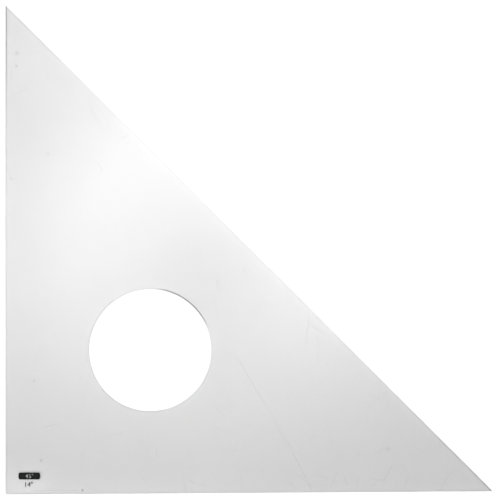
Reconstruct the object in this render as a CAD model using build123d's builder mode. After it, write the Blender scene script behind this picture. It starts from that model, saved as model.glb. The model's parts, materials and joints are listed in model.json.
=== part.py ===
from build123d import *

import math
import os

# A clear 45 degree drafting triangle lying flat, printed face up. Its legs run along +X and +Y from the
# right-angled corner, and the origin is the middle of the square that they span, on the underside.
# All sizes are in millimetres.

# The cut sheet
LEG_LENGTH = 355.6  # each leg from its corner to its tip, the 14 inch size
SHEET_THICKNESS = 2.032  # 0.080 inch cast acrylic
EDGE_BREAK = 0.1  # 45 degree chamfer along the working edges, on both faces
FACE_CORNER_RADIUS = 0.1  # radius left at the corners of the two faces, inside the edge chamfer

# The finger hole
HOLE_DIAMETER = 89.5  # about 3 1/2 inch
HOLE_FROM_UPRIGHT_LEG = 105.0  # centre of the hole from the leg along +Y
HOLE_FROM_BASE_LEG = 104.3  # centre of the hole from the leg along +X
RIM_BREAK = 0.15  # 45 degree chamfer round the hole, on both faces

# The printed bar by the right-angled corner
INK_THICKNESS = 0.05
BADGE_WIDTH = 15.6
BADGE_HEIGHT = 5.0
BADGE_CORNER_RADIUS = 1.2
BADGE_FROM_UPRIGHT_LEG = 17.2  # centre of the bar from the leg along +Y
BADGE_FROM_BASE_LEG = 13.3  # centre of the bar from the leg along +X

# Rounding a 45 degree tip shortens its leg, so the straight edges are drawn to meet that much further out
corner_radius = EDGE_BREAK + FACE_CORNER_RADIUS
sharp_leg = LEG_LENGTH + math.sqrt(2) * corner_radius
corner_at = -LEG_LENGTH / 2
tip_at = corner_at + sharp_leg

os.makedirs("parts", exist_ok=True)

# The blade: one sheet with machined edges, eased corners and a chamfered finger hole
with BuildPart() as acrylic_blade:
    with BuildSketch() as outline:
        with BuildLine():
            Polyline(
                (corner_at, corner_at),
                (tip_at, corner_at),
                (corner_at, tip_at),
                close=True,
            )
        make_face()
        fillet(outline.vertices(), corner_radius)
    extrude(amount=SHEET_THICKNESS)
    chamfer(acrylic_blade.faces().filter_by(Axis.Z).edges(), EDGE_BREAK)
    with Locations((corner_at + HOLE_FROM_UPRIGHT_LEG, corner_at + HOLE_FROM_BASE_LEG, SHEET_THICKNESS)):
        Hole(HOLE_DIAMETER / 2)
    chamfer(acrylic_blade.edges(Select.LAST).filter_by(GeomType.CIRCLE), RIM_BREAK)

acrylic_blade.part.label = "acrylic_blade"
export_step(acrylic_blade.part, "parts/acrylic_blade.step")

# The printed bar: a film of ink on the upper face
with BuildPart() as printed_badge:
    with BuildSketch(Plane.XY.offset(SHEET_THICKNESS)):
        with Locations((corner_at + BADGE_FROM_UPRIGHT_LEG, corner_at + BADGE_FROM_BASE_LEG)):
            RectangleRounded(BADGE_WIDTH, BADGE_HEIGHT, BADGE_CORNER_RADIUS)
    extrude(amount=INK_THICKNESS)

printed_badge.part.label = "printed_badge"
export_step(printed_badge.part, "parts/printed_badge.step")
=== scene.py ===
import json
import math

import bmesh
import bpy
from mathutils import Matrix, Vector


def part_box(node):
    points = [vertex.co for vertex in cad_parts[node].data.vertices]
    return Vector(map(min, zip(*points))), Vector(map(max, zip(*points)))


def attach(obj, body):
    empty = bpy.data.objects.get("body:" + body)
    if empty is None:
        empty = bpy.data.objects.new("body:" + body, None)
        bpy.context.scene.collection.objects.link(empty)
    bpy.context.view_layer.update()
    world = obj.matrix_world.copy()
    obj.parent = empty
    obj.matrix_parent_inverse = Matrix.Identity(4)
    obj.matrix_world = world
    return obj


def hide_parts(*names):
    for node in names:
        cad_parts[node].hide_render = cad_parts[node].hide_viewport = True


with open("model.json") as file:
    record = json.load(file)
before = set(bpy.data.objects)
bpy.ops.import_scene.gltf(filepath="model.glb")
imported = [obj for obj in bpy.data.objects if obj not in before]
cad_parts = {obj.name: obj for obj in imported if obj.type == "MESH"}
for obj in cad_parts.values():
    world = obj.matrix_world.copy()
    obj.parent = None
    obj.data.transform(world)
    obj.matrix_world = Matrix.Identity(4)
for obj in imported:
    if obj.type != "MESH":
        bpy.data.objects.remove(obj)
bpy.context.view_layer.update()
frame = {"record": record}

# The clear blade
# One sheet of clear cast acrylic, cut to a 45 degree triangle with a round finger hole near its right angle.
# The faces keep the polish of the cast sheet. The edges are milled square, with a fine chamfer on each
# arris. Pencil work has left hairlines and specks on the faces, and painted shade darkens the edges and
# lines beside them.
blade_low, blade_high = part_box("acrylic_blade")
mounts = {mount["name"]: mount for mount in frame["record"]["mounts"]}
long_edge_point = Vector(mounts["long_edge"]["pos_m"])
hole_middle = Vector(mounts["finger_hole"]["pos_m"])
hole_radius = mounts["finger_hole"]["dims"]["r_mm"] / 1000
thickness = blade_high.z - blade_low.z
edge_break = 0.0001
rim_break = 0.00015
break_steps = 3
tip_radius = 0.0002
corner_steps = 6
hole_sides = 256
level_normal = 0.999
up = Vector((0, 0, 1))


def rounded_outline(shape, corners, radius):
    """Adds the edges of a polygon to a shape, with each corner turned through an arc."""
    arcs = []
    for at, corner in enumerate(corners):
        back = (corners[at - 1] - corner).normalized()
        onward = (corners[(at + 1) % len(corners)] - corner).normalized()
        half_angle = back.angle(onward) / 2
        middle = corner + (back + onward).normalized() * radius / math.sin(half_angle)
        first = shape.verts.new(corner + back * radius / math.tan(half_angle))
        sweep = math.pi - 2 * half_angle
        turned = bmesh.ops.spin(shape, geom=[first], cent=middle, axis=up, angle=sweep, steps=corner_steps)
        last = [part for part in turned["geom_last"] if isinstance(part, bmesh.types.BMVert)][0]
        arcs.append((first, last))
    for arc, next_arc in zip(arcs, arcs[1:] + arcs[:1]):
        shape.edges.new((arc[1], next_arc[0]))


def fill_and_raise(shape, height):
    """Turns the outlines in a shape into a closed slab of this height, with the inner outlines left open."""
    bmesh.ops.triangle_fill(shape, edges=shape.edges[:], use_beauty=True)
    raised = bmesh.ops.extrude_face_region(shape, geom=shape.faces[:])["geom"]
    raised_points = [part for part in raised if isinstance(part, bmesh.types.BMVert)]
    bmesh.ops.translate(shape, verts=raised_points, vec=up * height)
    bmesh.ops.recalc_face_normals(shape, faces=shape.faces[:])


def new_piece(name, shape):
    """An object made from a shape, which moves with the part."""
    mesh = bpy.data.meshes.new(name)
    shape.to_mesh(mesh)
    shape.free()
    piece = bpy.data.objects.new(name, mesh)
    bpy.context.scene.collection.objects.link(piece)
    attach(piece, "root")
    return piece


# The straight edges meet a little outside the rounded tips
tips_sum = long_edge_point.x + long_edge_point.y
right_angle = Vector((blade_low.x, blade_low.y, blade_low.z))
base_tip = Vector((tips_sum - blade_low.y, blade_low.y, blade_low.z))
upright_tip = Vector((blade_low.x, tips_sum - blade_low.x, blade_low.z))

sheet = bmesh.new()
rounded_outline(sheet, (right_angle, base_tip, upright_tip), tip_radius)
hole_place = Matrix.Translation((hole_middle.x, hole_middle.y, blade_low.z))
bmesh.ops.create_circle(sheet, segments=hole_sides, radius=hole_radius, matrix=hole_place)
fill_and_raise(sheet, thickness)


def is_level(face):
    """Whether a face lies flat, as the two polished faces of the sheet do."""
    return abs(face.normal.z) > level_normal


def arrises(near_hole):
    """The sharp edges where a face of the sheet meets its outer edge, or the wall of its hole."""
    found = []
    for edge in sheet.edges:
        level_sides = [is_level(face) for face in edge.link_faces]
        middle = (edge.verts[0].co + edge.verts[1].co) / 2
        reach = (middle - hole_middle).to_2d().length
        if level_sides.count(True) == 1 and (reach < hole_radius + rim_break) == near_hole:
            found.append(edge)
    return found


for near_hole, width in ((False, edge_break), (True, rim_break)):
    bmesh.ops.bevel(
        sheet,
        geom=arrises(near_hole),
        offset=width,
        affect="EDGES",
        segments=break_steps,
        profile=0.5,
        material=-1,
    )
polished, milled = 0, 1
for face in sheet.faces:
    face.material_index = polished if is_level(face) else milled
    face.smooth = not is_level(face)
blade = new_piece("clear_blade", sheet)
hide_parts("acrylic_blade")


class Shade:
    """A value, vector or colour in a node tree. Sums and products of values add Math nodes to the tree."""

    def __init__(self, tree, socket=None):
        self.tree = tree
        self.socket = socket

    def node(self, kind, settings, inputs, output=0):
        """Adds a node of this kind, with its settings and the values or links of its sockets."""
        made = self.tree.nodes.new(kind)
        for name, value in settings.items():
            setattr(made, name, value)
        for name, value in inputs.items():
            if isinstance(value, Shade):
                self.tree.links.new(value.socket, made.inputs[name])
            else:
                made.inputs[name].default_value = value
        return Shade(self.tree, made.outputs[output])

    def output(self, name):
        """Another output of the node that this one comes from."""
        return Shade(self.tree, self.socket.node.outputs[name])

    def maths(self, operation, *values):
        return self.node("ShaderNodeMath", {"operation": operation}, dict(enumerate(values)))

    def __add__(self, other):
        return self.maths("ADD", self, other)

    __radd__ = __add__

    def __sub__(self, other):
        return self.maths("SUBTRACT", self, other)

    def __rsub__(self, other):
        return self.maths("SUBTRACT", other, self)

    def __mul__(self, other):
        return self.maths("MULTIPLY", self, other)

    __rmul__ = __mul__

    def __truediv__(self, other):
        return self.maths("DIVIDE", self, other)

    def __rtruediv__(self, other):
        return self.maths("DIVIDE", other, self)

    def vector(self, operation, *values, output=0):
        return self.node("ShaderNodeVectorMath", {"operation": operation}, dict(enumerate(values)), output)

    def flattened(self):
        """This place or direction with its height left out."""
        return self.vector("MULTIPLY", self, (1, 1, 0))

    def fade(self, start, end):
        """0 where this value is at start, 1 where it is at end, and smooth between."""
        settings = {"interpolation_type": "SMOOTHSTEP"}
        return self.node("ShaderNodeMapRange", settings, {"Value": self, "From Min": start, "From Max": end})

    def noise(self, scale, detail=2, output=0):
        """Soft random patches at this place, about 1 / scale metres across, with values round 0.5."""
        inputs = {"Vector": self, "Scale": scale, "Detail": detail}
        return self.node("ShaderNodeTexNoise", {}, inputs, output)


# The sheet's grey tint is partly the acrylic's own and partly painted shade: it darkens the whole sheet as
# the shade on the floor under it would. The dark layer is graphite in places and painted shade in others.
acrylic_ior = 1.49
face_tint_and_shade = (0.82, 0.82, 0.82, 1)
edge_tint = (0.97, 0.97, 0.97, 1)
graphite_and_shade_colour = (0.05, 0.05, 0.05, 1)
dark_layer_roughness = 0.5


def finished_material(name, finish):
    """A material whose shader is made by a function of the place on the piece."""
    material = bpy.data.materials.new(name)
    material.use_nodes = True
    tree = material.node_tree
    tree.nodes.remove(tree.nodes["Principled BSDF"])
    shader = finish(Shade(tree).node("ShaderNodeTexCoord", {}, {}, "Object"))
    tree.links.new(shader.socket, tree.nodes["Material Output"].inputs["Surface"])
    return material


def darkened_acrylic(tint, dirt_and_shade, roughness, relief):
    """Clear acrylic under graphite and painted shade, which cover the share given by the second argument."""
    clear = {
        "Base Color": tint,
        "Roughness": roughness,
        "IOR": acrylic_ior,
        "Transmission Weight": 1.0,
        "Normal": relief,
    }
    # The dark layer is graphite where there are marks, and painted shade along the edges and round the rim.
    dark_layer = {"Base Color": graphite_and_shade_colour, "Roughness": dark_layer_roughness, "Normal": relief}
    layers = {
        0: dirt_and_shade,
        1: dirt_and_shade.node("ShaderNodeBsdfPrincipled", {}, clear),
        2: dirt_and_shade.node("ShaderNodeBsdfPrincipled", {}, dark_layer),
    }
    return dirt_and_shade.node("ShaderNodeMixShader", {}, layers)


# Hairlines on the upper face, by their strength and the points that they pass, in metres from the frame's
# origin. They wander a little, with so many bends to a metre.
hairlines = {
    "faint start of the long stroke": (0.4, ((-0.0120, -0.0743), (-0.0083, -0.0808))),
    "long stroke below the hole": (0.72, ((-0.0083, -0.0808), (0.0070, -0.1070))),
    "its middle part": (0.36, ((0.0070, -0.1070), (0.0245, -0.1349))),
    "its lower part": (0.7, ((0.0245, -0.1349), (0.0449, -0.1757))),
    "curve that joins its lower end": (
        0.4,
        ((0.0169, -0.1566), (0.0293, -0.1617), (0.0388, -0.1680), (0.0454, -0.1747)),
    ),
    "stroke by the long edge": (
        1.1,
        ((0.0434, -0.0458), (0.0427, -0.0549), (0.0413, -0.0643), (0.0409, -0.0694)),
    ),
    "short stroke beside it": (0.6, ((0.0449, -0.0565), (0.0510, -0.0592))),
    "upper stroke of a hook": (1.1, ((-0.1122, 0.0650), (-0.1084, 0.0604))),
    "lower stroke of the hook": (1.5, ((-0.1071, 0.0604), (-0.1103, 0.0539))),
    "stroke under the hole": (
        0.4,
        ((-0.0887, -0.1210), (-0.0846, -0.1268), (-0.0802, -0.1391), (-0.0707, -0.1551)),
    ),
    "stroke up from the hole": (3.0, ((-0.0243, -0.0234), (-0.0230, -0.0290))),
    "short stroke on the upright leg": (1.8, ((-0.1693, 0.1136), (-0.1620, 0.1180))),
    "short stroke by the upper long edge": (1.25, ((-0.0933, 0.0809), (-0.0889, 0.0839))),
    "scrape by the base tip": (1.8, ((0.1524, -0.1554), (0.1603, -0.1608))),
    "stroke down from the scrape": (0.5, ((0.1544, -0.1574), (0.1544, -0.1619))),
    "short stroke above it": (0.8, ((0.1384, -0.1411), (0.1404, -0.1460))),
    "stroke over the base": (1.0, ((0.1040, -0.1582), (0.0972, -0.1702))),
    "branch at its lower end": (0.5, ((0.0976, -0.1678), (0.0867, -0.1744))),
    "stroke along the base": (0.6, ((-0.1577, -0.1752), (-0.1246, -0.1752))),
}
hairline_width = 0.0004
hairline_dirt = 0.1
hairline_wander = 0.0008
hairline_bends = 45

# Specks on the upper face, by the share that graphite covers, their middle and their radius
specks = {
    "large speck on the upright leg": (0.08, (-0.1692, 0.1430), 0.0021),
    "speck below it": (0.19, (-0.1698, 0.1340), 0.0011),
    "blot below the upright tip": (0.06, (-0.1477, 0.1280), 0.0022),
    "soft speck by the base tip": (0.045, (0.1009, -0.1465), 0.0030),
    "speck above the print": (0.14, (-0.1521, -0.1533), 0.0014),
    "speck on the base leg": (0.3, (-0.1222, -0.1751), 0.0011),
    "speck by the long edge": (0.235, (-0.0039, -0.0150), 0.0011),
    "speck in the upper part": (0.24, (-0.1470, 0.0693), 0.0011),
    "speck on the upright edge": (0.2, (-0.1738, 0.0518), 0.0011),
    "speck left of the hole": (0.14, (-0.1572, -0.0956), 0.0012),
}
speck_core = 1 / 3

# Scuffs on the upper face, one straight stroke in every cell of a random pattern: the cells to a metre, and
# half of the stroke's length. A random number makes each one faint or plain, and near the right angle there
# are none.
scuff_layers = ((30, 0.013), (55, 0.007), (95, 0.004))
scuff_width = 0.0003
scuff_dirt = 0.085
scuff_faint = 0.2
scuff_plain = 0.9
unscuffed_reach = 0.02
scuffed_reach = 0.06

# Painted shade, in a dark line beside every edge: darkest up the upright leg to its tip, along the long edge
# by the base tip, and on the arc of the hole's rim towards the upper right. The amounts are shares of the
# surface. On the base and the long edge it comes and goes in patches.
shade_line_from_edge = 0.0007
shade_line_from_rim = 0.0003
shade_line_width = 0.0004
up_leg_reach = 0.1
by_tip_reach = 0.12
# The heading, from the hole's middle, of the arc of the rim with the darkest painted shade
shaded_arc_angle = math.radians(53)
shaded_arc_way = Vector((math.cos(shaded_arc_angle), math.sin(shaded_arc_angle), 0))
shaded_arc_end_cosine = 0.84
upright_shade = 0.025
upright_shade_up_leg = 0.33
base_shade = 0.015
base_shade_by_tip = 0.04
long_shade = 0.015
long_shade_by_tip = 0.13
long_shade_up_leg = 0.05
rim_shade = 0.03
rim_shade_on_arc = 0.85
shade_line_patches = 130
shade_line_least = 0.4
shade_line_swing = 1.2
patch_start = 0.35
patch_full = 0.65


def shade_masks(place):
    """Where the painted edge shade is deepest near a place, up the upright leg, by the base tip and on the
    arc of the hole's rim towards the upper right, and how far the place is from the hole's wall."""
    up_leg = place.vector("DISTANCE", place, upright_tip, output="Value").fade(up_leg_reach, 0)
    by_tip = place.vector("DISTANCE", place, base_tip, output="Value").fade(by_tip_reach, 0)
    out = place.vector("SUBTRACT", place, hole_middle).flattened()
    toward = place.vector("NORMALIZE", out)
    shaded_arc = place.vector("DOT_PRODUCT", toward, shaded_arc_way, output="Value").fade(shaded_arc_end_cosine, 1)
    from_rim = place.vector("LENGTH", out, output="Value") - hole_radius
    return up_leg, by_tip, shaded_arc, from_rim


def shade_lines(place):
    """The lines of painted shade on a face, beside the three edges and round the hole."""
    up_leg, by_tip, shaded_arc, from_rim = shade_masks(place)
    x = place.node("ShaderNodeSeparateXYZ", {}, {0: place})
    y = x.output("Y")
    from_upright = x - blade_low.x
    from_base = y - blade_low.y
    from_long = (tips_sum - x - y) * math.sqrt(0.5)
    uneven = shade_line_least + place.noise(shade_line_patches).fade(patch_start, patch_full) * shade_line_swing
    on_upright = upright_shade + up_leg * upright_shade_up_leg
    on_base = base_shade + by_tip * base_shade_by_tip
    on_long = long_shade + by_tip * long_shade_by_tip + up_leg * long_shade_up_leg
    on_rim = rim_shade + shaded_arc * rim_shade_on_arc
    # Painted shade: a dark line just inside each edge, and round the hole's rim.
    lines = (
        (from_upright - shade_line_from_edge, on_upright),
        (from_base - shade_line_from_edge, on_base * uneven),
        (from_long - shade_line_from_edge, on_long * uneven),
        (from_rim - shade_line_from_rim, on_rim),
    )
    edge_shade = 0
    for off_line, amount in lines:
        edge_shade = off_line.maths("ABSOLUTE", off_line).fade(shade_line_width, 0) * amount + edge_shade
    return edge_shade


def strokes(place):
    """The hairlines, each made of straight stretches from point to point."""
    scored = 0
    for strength, points in hairlines.values():
        for start, end in zip(points, points[1:]):
            first = Vector(start).to_3d()
            stretch = Vector(end).to_3d() - first
            out = place.vector("SUBTRACT", place, first)
            share = place.vector("DOT_PRODUCT", out, stretch / stretch.length_squared, output="Value")
            share = share.maths("MINIMUM", share.maths("MAXIMUM", share, 0), 1)
            foot = place.node("ShaderNodeVectorMath", {"operation": "SCALE"}, {0: stretch, "Scale": share})
            miss = place.vector("DISTANCE", out, foot, output="Value")
            scored = place.maths("MAXIMUM", miss.fade(hairline_width, 0) * strength, scored)
    return scored


def spots(place):
    """The specks, round and densest in the core."""
    spotted = 0
    for share, middle, radius in specks.values():
        miss = place.vector("DISTANCE", place, Vector(middle).to_3d(), output="Value")
        spotted = miss.fade(radius, radius * speck_core) * share + spotted
    return spotted


def scuffs(place):
    """Short straight strokes at every angle, one in each cell, and some of them too faint to see."""
    scuffed = 0
    for cells, reach in scuff_layers:
        cell = {"Vector": place, "Scale": cells}
        middle = place.node("ShaderNodeTexVoronoi", {"voronoi_dimensions": "2D"}, cell, "Position")
        chance = place.node("ShaderNodeSeparateColor", {}, {0: middle.output("Color")})
        turn = chance * math.pi
        x = place.node("ShaderNodeSeparateXYZ", {}, {0: place.vector("SUBTRACT", place, middle)})
        y = x.output("Y")
        along = x * turn.maths("COSINE", turn) + y * turn.maths("SINE", turn)
        across = y * turn.maths("COSINE", turn) - x * turn.maths("SINE", turn)
        stroke = across.maths("ABSOLUTE", across).fade(scuff_width, 0)
        stroke = along.maths("ABSOLUTE", along).fade(reach, reach / 2) * stroke
        strength = chance.output("Green").fade(scuff_faint, scuff_plain)
        scuffed = place.maths("MAXIMUM", stroke * strength, scuffed)
    return scuffed


# The polish has the long faint waves of cast sheet, and here and there it is rubbed along them
wave_turn = 1.05
wave_size = (0.07, 0.0014, 0.0011)
wave_relief = 0.000002
rub_start = 0.6
rub_full = 0.8
rub_patches = 22
rub_patch_start = 0.42
rub_patch_full = 0.7
rub_dirt = 0.01
face_roughness = 0.015
patch_roughness = 0.02
stroke_roughness = 0.2
rub_roughness = 0.08
line_roughness = 0.3


def worn_face(place):
    """A polished face with hairlines, specks, scuffs, rubbed patches, and painted shade in lines by its
    edges.
    """
    noise_middle = (0.5, 0.5, 0.5)
    sway = place.vector("SUBTRACT", place.noise(hairline_bends, detail=1, output="Color"), noise_middle)
    sway = place.vector("MULTIPLY", sway, (hairline_wander, hairline_wander, 0))
    swayed = place.vector("ADD", place, sway).flattened()
    on_top = place.node("ShaderNodeSeparateXYZ", {}, {0: place}, "Z").fade(blade_low.z, blade_high.z)
    used = place.vector("DISTANCE", place, right_angle, output="Value").fade(unscuffed_reach, scuffed_reach)
    scored = strokes(swayed) * on_top
    spotted = spots(swayed) * on_top
    scuffed = scuffs(swayed) * on_top * used
    streaks = {"Vector": place, "Rotation": (0, 0, wave_turn), "Scale": wave_size}
    waves = place.node("ShaderNodeMapping", {"vector_type": "TEXTURE"}, streaks).noise(1, detail=1)
    patches = place.noise(rub_patches, detail=1).fade(rub_patch_start, rub_patch_full)
    rubbed = waves.fade(rub_start, rub_full) * patches
    edge_shade = shade_lines(place)
    # The dark film is graphite in the hairlines, scuffs, specks and rubbed patches, and painted shade in the
    # edge lines.
    dirt_and_shade = scored * hairline_dirt + scuffed * scuff_dirt + spotted + rubbed * rub_dirt + edge_shade
    marks = (scored + scuffed) * stroke_roughness + rubbed * rub_roughness + edge_shade * line_roughness
    roughness = face_roughness + patches * patch_roughness + marks
    relief = place.node("ShaderNodeBump", {}, {"Height": waves, "Distance": wave_relief})
    return darkened_acrylic(face_tint_and_shade, dirt_and_shade, roughness, relief)


# The milling cutter leaves fine marks across the edges, and painted shade darkens them round the hole's rim,
# most on an arc towards the upper right, and up the upright leg and by the base tip.
cutter_marks = 2600
cutter_draw = (1, 1, 0.02)
cutter_relief = 0.00003
milled_roughness = 0.22
cutter_roughness = 0.25
milled_shade_roughness = 0.2
milled_shade_patches = 60
milled_shade_least = 0.5
milled_shade_up_leg = 0.04
milled_shade_by_tip = 0.08
rim_milled_shade = 0.1
rim_milled_shade_on_arc = 0.45


def milled_edge(place):
    """An edge with the marks of the milling cutter across it, and painted shade round the rim and near two
    tips.
    """
    cutter = place.vector("MULTIPLY", place, cutter_draw).noise(cutter_marks)
    patches = place.noise(milled_shade_patches).fade(patch_start, patch_full)
    up_leg, by_tip, shaded_arc, from_rim = shade_masks(place)
    # Painted shade on the milled edges, deepest on the arc of the rim towards the upper right.
    on_rim = from_rim.fade(2 * rim_break, rim_break) * (rim_milled_shade + shaded_arc * rim_milled_shade_on_arc)
    milled_shade = up_leg * milled_shade_up_leg + by_tip * milled_shade_by_tip + on_rim
    dirt_and_shade = milled_shade * (milled_shade_least + patches * (1 - milled_shade_least))
    roughness = milled_roughness + cutter * cutter_roughness + dirt_and_shade * milled_shade_roughness
    relief = place.node("ShaderNodeBump", {}, {"Height": cutter, "Distance": cutter_relief})
    return darkened_acrylic(edge_tint, dirt_and_shade, roughness, relief)


blade.data.materials.append(finished_material("polished_acrylic", worn_face))
blade.data.materials.append(finished_material("milled_acrylic", milled_edge))

# The printed bar
# A bar of black ink, screen-printed on the upper face by the right angle, with the angle of the two tips
# left clear in it. The ink is a thin satin film with a fine grain and a few pinholes.
bar_low, bar_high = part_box("printed_badge")
bar_middle = (bar_low + bar_high) / 2
bar_corner = 0.0012
bar_figures = 0.0032
bar_boldness = 0.03
figure_curve_steps = 8
figure_join = 0.0001
ink_thickness = bar_high.z - bar_low.z
ink_black = (0.004, 0.004, 0.0045, 1)
ink_worn = (0.02, 0.02, 0.021, 1)
ink_gloss = 0.1
ink_roughness = 0.4
ink_relief = 0.000008
ink_grain = 5200
grain_roughness = 0.2
thin_patches = 420
thin_start = 0.5
thin_full = 0.75
thin_wear = 0.4
thin_roughness = 0.12
pinhole_cells = 1500
pinhole_rim = 0.12
pinhole_core = 0.05
pinhole_wear = 0.6


def figure_outlines(words, height, boldness, middle):
    """A shape that holds the outlines of plain figures of this height, round a point on the upper face."""
    writing = bpy.data.curves.new("figures", "FONT")
    writing.body = words
    writing.offset = boldness
    writing.fill_mode = "NONE"
    writing.resolution_u = figure_curve_steps
    holder = bpy.data.objects.new("figures", writing)
    bpy.context.scene.collection.objects.link(holder)
    outlines = bpy.data.meshes.new_from_object(holder.evaluated_get(bpy.context.evaluated_depsgraph_get()))
    bpy.data.objects.remove(holder)
    bpy.data.curves.remove(writing)
    shape = bmesh.new()
    shape.from_mesh(outlines)
    bpy.data.meshes.remove(outlines)
    bmesh.ops.remove_doubles(shape, verts=shape.verts[:], dist=figure_join)
    lows = [min(point.co[axis] for point in shape.verts) for axis in range(3)]
    highs = [max(point.co[axis] for point in shape.verts) for axis in range(3)]
    centre = (Vector(lows) + Vector(highs)) / 2
    size = height / (highs[1] - lows[1])
    bmesh.ops.translate(shape, verts=shape.verts[:], vec=-centre)
    bmesh.ops.scale(shape, verts=shape.verts[:], vec=(size, size, size))
    bmesh.ops.translate(shape, verts=shape.verts[:], vec=(middle.x, middle.y, bar_low.z))
    return shape


def printed_ink(place):
    """Black ink with fine grain, rubbed thinner in patches, and pinholes."""
    grain = place.noise(ink_grain)
    thin = place.noise(thin_patches).fade(thin_start, thin_full)
    cell = {"Vector": place, "Scale": pinhole_cells}
    pinholes = place.node("ShaderNodeTexVoronoi", {}, cell).fade(pinhole_rim, pinhole_core)
    worn = thin * thin_wear + pinholes * pinhole_wear
    mix = {"Factor": worn, "A": ink_black, "B": ink_worn}
    film = {
        "Base Color": place.node("ShaderNodeMix", {"data_type": "RGBA"}, mix, "Result"),
        "Roughness": ink_roughness + grain * grain_roughness + thin * thin_roughness,
        "Specular IOR Level": ink_gloss,
        "Normal": place.node("ShaderNodeBump", {}, {"Height": grain - pinholes, "Distance": ink_relief}),
    }
    return place.node("ShaderNodeBsdfPrincipled", {}, film)


bar = figure_outlines("45°", bar_figures, bar_boldness, bar_middle)
bar_corners = [
    Vector((bar_low.x, bar_low.y, bar_low.z)),
    Vector((bar_high.x, bar_low.y, bar_low.z)),
    Vector((bar_high.x, bar_high.y, bar_low.z)),
    Vector((bar_low.x, bar_high.y, bar_low.z)),
]
rounded_outline(bar, bar_corners, bar_corner)
fill_and_raise(bar, ink_thickness)
angle_bar = new_piece("angle_bar", bar)
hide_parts("printed_badge")
black_ink = finished_material("screen_ink", printed_ink)
angle_bar.data.materials.append(black_ink)

# The size figures
# The length of a leg in inches, in plain figures of the same ink, printed below the bar in the same pass.
# They are a little to the left of the bar's middle.
inch = 0.0254
size_figures_height = 0.0036
size_below_bar = 0.0062
size_left_of_bar = 0.0002
size_middle = bar_middle - Vector((size_left_of_bar, size_below_bar, 0))
leg_inches = round((blade_high.x - blade_low.x) / inch)
figures = figure_outlines(f'{leg_inches}"', size_figures_height, 0, size_middle)
fill_and_raise(figures, ink_thickness)
size_figures = new_piece("size_figures", figures)
size_figures.data.materials.append(black_ink)

# The studio
# A white floor just under the sheet, in a white room with a soft light overhead and windows round it. The
# camera looks straight down, as the photograph does.
floor_drop = 0.00005
floor_half = 12.0
floor_white = (0.9, 0.9, 0.9, 1)
floor_roughness = 0.9
floor_mesh = bpy.data.meshes.new("floor")
floor_shape = bmesh.new()
bmesh.ops.create_grid(floor_shape, x_segments=1, y_segments=1, size=floor_half)
bmesh.ops.translate(floor_shape, verts=floor_shape.verts[:], vec=(0, 0, -floor_drop))
floor_shape.to_mesh(floor_mesh)
floor_shape.free()
floor = bpy.data.objects.new("floor", floor_mesh)
bpy.context.scene.collection.objects.link(floor)
floor_paint = bpy.data.materials.new("floor_paint")
floor_paint.use_nodes = True
floor_shader = floor_paint.node_tree.nodes["Principled BSDF"]
floor_shader.inputs["Base Color"].default_value = floor_white
floor_shader.inputs["Roughness"].default_value = floor_roughness
floor_shader.inputs["Specular IOR Level"].default_value = 0.0
floor_mesh.materials.append(floor_paint)

# The softbox with a brighter streak, the camera's shade in it, a reflector, a strip light and a small lamp
# are placed by their slope from straight up
softbox_light = 9.0
softbox_lean = Vector((0.0157, 0.0537))
softbox_turn = math.radians(22)
softbox_spread = Vector((0.1528, 0.1126))
streak_light = 0.4
streak_lean = Vector((-0.0914, 0.0762))
streak_turn = math.radians(61.4)
streak_spread = Vector((0.0401, 0.0126))
shade_depth = 0.5
shade_lean = Vector((-0.0157, -0.0124))
shade_turn = math.radians(79.2)
shade_spread = Vector((0.0858, 0.067))
reflector_light = 1.8
reflector_lean = Vector((-0.1576, 0.1876))
reflector_spread = Vector((0.0388, 0.0388))
strip_light = 0.75
strip_lean = Vector((-0.2255, -0.2007))
strip_spread = Vector((0.1488, 0.0133))
lamp_light = 1.5
lamp_lean = Vector((-0.1626, -0.1874))
lamp_spread = Vector((0.011, 0.0085))

# The walls are darker low down, with a white backdrop at the floor. Six windows stand round the room, and
# the sheet mirrors them when it is seen from the side. Heights are the sine of the angle above the floor.
room_light = 0.86
low_wall_share = 0.5
low_wall_top = 0.2
high_wall_foot = 0.5
backdrop_light = 0.9
backdrop_full = 0.04
backdrop_top = 0.12
window_light = 1.65
window_angle = math.radians(10)
window_side = Vector((math.cos(window_angle), math.sin(window_angle), 0))
window_jamb = -0.4
window_pane = 0.6
window_sill = 0.15
window_low = 0.5
window_high = 0.7
window_head = 0.93
least_climb = 0.001

world = bpy.data.worlds.new("studio")
bpy.context.scene.world = world
world.use_nodes = True
sky = Shade(world.node_tree)
ray = sky.node("ShaderNodeTexCoord", {}, {}, "Generated")
ray_x = sky.node("ShaderNodeSeparateXYZ", {}, {0: ray})
climb = ray_x.output("Z")
height = climb.maths("MAXIMUM", climb, least_climb)
slope_x = ray_x / height
slope_y = ray_x.output("Y") / height


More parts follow.
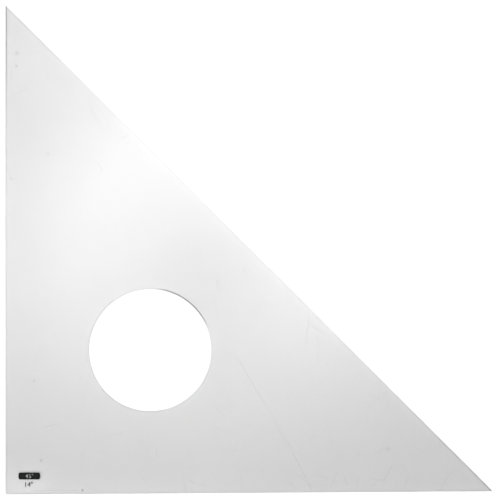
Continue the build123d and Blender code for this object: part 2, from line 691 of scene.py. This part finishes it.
def soft_patch(lean, turn, spread):
    """A round or oval patch of the sky, 1 in its middle, that fades as a bell curve."""
    across = slope_x - lean.x
    along = slope_y - lean.y
    long_way = (across * math.cos(turn) + along * math.sin(turn)) / spread.x
    short_way = (along * math.cos(turn) - across * math.sin(turn)) / spread.y
    fall = (long_way * long_way + short_way * short_way) * -0.5
    return fall.maths("EXPONENT", fall)


softbox = soft_patch(softbox_lean, softbox_turn, softbox_spread) * softbox_light
streak = soft_patch(streak_lean, streak_turn, streak_spread) * streak_light
camera_shade = 1 - soft_patch(shade_lean, shade_turn, shade_spread) * shade_depth
reflector = soft_patch(reflector_lean, 0, reflector_spread) * reflector_light
strip = soft_patch(strip_lean, 0, strip_spread) * strip_light
lamp = soft_patch(lamp_lean, 0, lamp_spread) * lamp_light
walls = (low_wall_share + climb.fade(low_wall_top, high_wall_foot) * (1 - low_wall_share)) * room_light
backdrop = climb.fade(backdrop_top, backdrop_full) * backdrop_light

# The cosine of three times a heading's angle, and then of six times, repeats six times round the room
heading = sky.vector("NORMALIZE", ray.flattened())
facing = sky.vector("DOT_PRODUCT", heading, window_side, output="Value")
three_round = (facing * facing * 4 - 3) * facing
six_round = three_round * three_round * 2 - 1
window_height = climb.fade(window_sill, window_low) * climb.fade(window_head, window_high)
windows = six_round.fade(window_jamb, window_pane) * window_height * window_light
glow = softbox * camera_shade + streak + reflector + strip + lamp + windows + walls + backdrop
background = world.node_tree.nodes["Background"]
background.inputs["Color"].default_value = (1, 1, 1, 1)
world.node_tree.links.new(glow.socket, background.inputs["Strength"])

eye = Vector((-0.021, -0.0059, 0.86449))
target = Vector((-0.00059, -0.00052, 0))
roll = math.radians(-0.099)
lens_length = 85
camera_data = bpy.data.cameras.new("camera")
camera_data.lens = lens_length
camera = bpy.data.objects.new("camera", camera_data)
forward = (target - eye).normalized()
right = forward.cross(Vector((0, 1, 0))).normalized()
upright = right.cross(forward)
aim = Matrix((right, upright, -forward)).transposed().to_4x4()
camera.matrix_world = Matrix.Translation(eye) @ aim @ Matrix.Rotation(roll, 4, "Z")
bpy.context.scene.collection.objects.link(camera)
bpy.context.scene.camera = camera
bpy.context.scene.view_settings.view_transform = "Standard"
